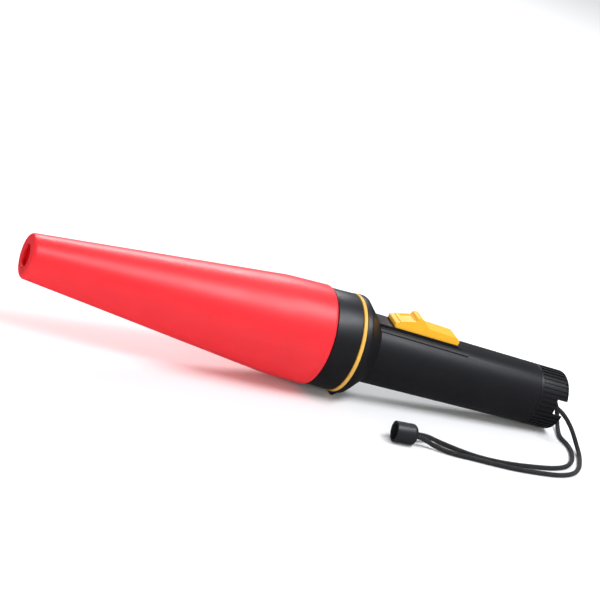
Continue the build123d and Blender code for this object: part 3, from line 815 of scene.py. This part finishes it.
def makeTurningGroup():
    # fine marks that run round the light, left on the mould by the lathe
    group, groupIn, groupOut = makeGroup("turningMarks", {"Line Scale": 900.0}, ("Height",))
    coordinates = group.nodes.new("ShaderNodeTexCoord").outputs["Object"]
    stretch = group.nodes.new("ShaderNodeMapping")
    stretch.inputs["Rotation"].default_value = (0, math.atan2(rearward.z, rearward.x), 0)
    stretch.inputs["Scale"].default_value = (1, 0.03, 0.03)
    group.links.new(coordinates, stretch.inputs["Vector"])
    lines = addNoise(group, stretch.outputs["Vector"], groupIn.outputs["Line Scale"], 3.0, 0.55)
    group.links.new(lines.outputs["Fac"], groupOut.inputs["Height"])
    return group


grainGroup = makeGrainGroup()
scuffGroup = makeScuffGroup()
turningGroup = makeTurningGroup()


def addGroup(tree, group, **values):
    node = tree.nodes.new("ShaderNodeGroup")
    node.node_tree = group
    for label, value in values.items():
        node.inputs[label.replace("_", " ")].default_value = value
    return node


def addRange(tree, value, low, high):
    node = tree.nodes.new("ShaderNodeMapRange")
    node.inputs["From Min"].default_value = 0.3
    node.inputs["From Max"].default_value = 0.7
    node.inputs["To Min"].default_value = low
    node.inputs["To Max"].default_value = high
    tree.links.new(value, node.inputs["Value"])
    return node.outputs["Result"]


def blendColours(tree, factor, first, second):
    node = tree.nodes.new("ShaderNodeMix")
    node.data_type = "RGBA"
    for socket, colour in ((node.inputs[6], first), (node.inputs[7], second)):
        socket.default_value = (*colour, 1)
    tree.links.new(factor, node.inputs[0])
    return node.outputs[2]


def addBump(tree, height, strength, distance, below=None):
    bump = tree.nodes.new("ShaderNodeBump")
    bump.inputs["Strength"].default_value = strength
    bump.inputs["Distance"].default_value = distance
    tree.links.new(height, bump.inputs["Height"])
    if below:
        tree.links.new(below, bump.inputs["Normal"])
    return bump.outputs["Normal"]


def moulded(name, light, deep, gloss, grain, shader=None, scuffs=0.4, turning=0.0):
    # gloss is (lowest, highest) roughness, grain is (scale, strength)
    material = bpy.data.materials.new(name)
    material.use_nodes = True
    tree = material.node_tree
    surface = tree.nodes["Principled BSDF"]
    texture = addGroup(tree, grainGroup, Grain_Scale=grain[0])
    hair = addGroup(tree, scuffGroup, Amount=scuffs)
    colour = blendColours(tree, addRange(tree, texture.outputs["Mottle"], 0, 1), light, deep)
    tree.links.new(colour, surface.inputs["Base Color"])
    rough = addRange(tree, texture.outputs["Mottle"], gloss[0], gloss[1])
    scratched = addMath(tree, "MULTIPLY_ADD", hair.outputs["Mask"], 0.12)
    tree.links.new(rough, scratched.node.inputs[2])
    tree.links.new(scratched, surface.inputs["Roughness"])
    normal = addBump(tree, texture.outputs["Height"], grain[1], 0.00004)
    if turning:
        marks = addGroup(tree, turningGroup)
        normal = addBump(tree, marks.outputs["Height"], turning, 0.00006, normal)
    tree.links.new(normal, surface.inputs["Normal"])
    for socket, value in (shader or {}).items():
        surface.inputs[socket].default_value = value
    return material


finishes = {
    "wandRed": moulded(
        "wandRed", (1.0, 0.026, 0.038), (0.95, 0.02, 0.032), (0.36, 0.43), (1500, 0.12),
        {
            "Subsurface Weight": 0.6, "Subsurface Radius": (1.0, 0.1, 0.08), "Subsurface Scale": 0.008,
            "IOR": 1.48,
        },
        0.3,
    ),
    "bodyBlack": moulded(
        "bodyBlack", (0.011, 0.011, 0.014), (0.0075, 0.0075, 0.01), (0.36, 0.44), (2600, 0.2), turning=0.12,
    ),
    "ringYellow": moulded("ringYellow", (0.78, 0.45, 0.075), (0.7, 0.38, 0.06), (0.42, 0.5), (2000, 0.15)),
    "switchYellow": moulded(
        "switchYellow", (0.88, 0.45, 0.016), (0.84, 0.41, 0.012), (0.46, 0.54), (2000, 0.15),
        {"Subsurface Weight": 0.25, "Subsurface Radius": (1.0, 0.5, 0.1), "Subsurface Scale": 0.0015},
    ),
    "cordBlack": moulded(
        "cordBlack", (0.012, 0.012, 0.013), (0.006, 0.006, 0.0065), (0.72, 0.9), (5000, 0.6),
        {"Sheen Weight": 0.25},
    ),
    "bellGrey": moulded("bellGrey", (0.02, 0.02, 0.024), (0.015, 0.015, 0.018), (0.36, 0.46), (2600, 0.2)),
    "brass": moulded(
        "brass", (0.8, 0.58, 0.24), (0.7, 0.48, 0.18), (0.22, 0.32), (1800, 0.1),
        {"Metallic": 1.0},
    ),
    "steel": moulded(
        "steel", (0.62, 0.62, 0.64), (0.5, 0.5, 0.53), (0.26, 0.36), (1800, 0.1),
        {"Metallic": 1.0},
    ),
    "mirror": moulded(
        "mirror", (0.9, 0.9, 0.92), (0.86, 0.86, 0.88), (0.05, 0.09), (900, 0.03),
        {"Metallic": 1.0}, 0.2,
    ),
    "natural": moulded("natural", (0.6, 0.57, 0.5), (0.54, 0.51, 0.45), (0.45, 0.55), (2200, 0.2)),
    "sleeve": moulded("sleeve", (0.05, 0.06, 0.08), (0.04, 0.05, 0.065), (0.25, 0.35), (1500, 0.1)),
    "rubber": moulded("rubber", (0.012, 0.012, 0.012), (0.008, 0.008, 0.008), (0.6, 0.75), (2600, 0.3)),
    "clear": moulded(
        "clear", (0.97, 0.98, 0.99), (0.94, 0.96, 0.97), (0.03, 0.07), (700, 0.03),
        {"Transmission Weight": 1.0, "IOR": 1.49}, 0.2,
    ),
}
nodeFinishes = {
    "lens_gasket": "rubber", "lens": "clear", "reflector": "mirror", "lamp_base": "brass",
    "lamp_dome": "clear",
    "lamp_holder": "natural", "lamp_contact": "brass", "front_cell_can": "steel",
    "front_cell_jacket": "sleeve",
    "rear_cell_can": "steel", "rear_cell_jacket": "sleeve", "front_contact_strip": "brass",
    "rear_contact_strip": "brass", "switch_carrier": "natural", "switch_bridge": "brass",
    "detent_leaves": "steel",
    "tail_gasket": "rubber", "spring_plate": "steel", "tail_spring": "steel",
}
for node, finish in nodeFinishes.items():
    cadPiece = frame["nodes"][node]
    for materialSlot in cadPiece.material_slots:
        materialSlot.material = finishes[finish]
pieceFinishes = (
    (wandPiece, "wandRed", "wand_red"), (bezelPiece, "bodyBlack", "body_black"),
    (ringPiece, "ringYellow", "ring_yellow"), (barrelPiece, "bodyBlack", "body_black"),
    (sliderPiece, "switchYellow", "switch_yellow"), (capPiece, "bodyBlack", "body_black"),
    (bellPiece, "bellGrey", "bell_grey"), (knotPiece, "cordBlack", "cord_black"),
    (legs["legByNotch"], "cordBlack", "cord_black"), (legs["legOverRim"], "cordBlack", "cord_black"),
)
for piece, finish, slotName in pieceFinishes:
    piece.data.materials.clear()
    piece.data.materials.append(finishes[finish])
print("materials set")

# floor
floorFinish = {"side": 8, "colour": (0.93, 0.93, 0.93), "roughness": 0.9}
deselectAll()
bpy.ops.mesh.primitive_plane_add(size=floorFinish["side"], location=(0, 0, 0))
floor = rename("floor")
floorPaint = bpy.data.materials.new("floorPaint")
floorPaint.use_nodes = True
floorSurface = floorPaint.node_tree.nodes["Principled BSDF"]
floorSurface.inputs["Base Color"].default_value = (*floorFinish["colour"], 1)
floorSurface.inputs["Roughness"].default_value = floorFinish["roughness"]
floor.data.materials.append(floorPaint)
floor.visible_glossy = False
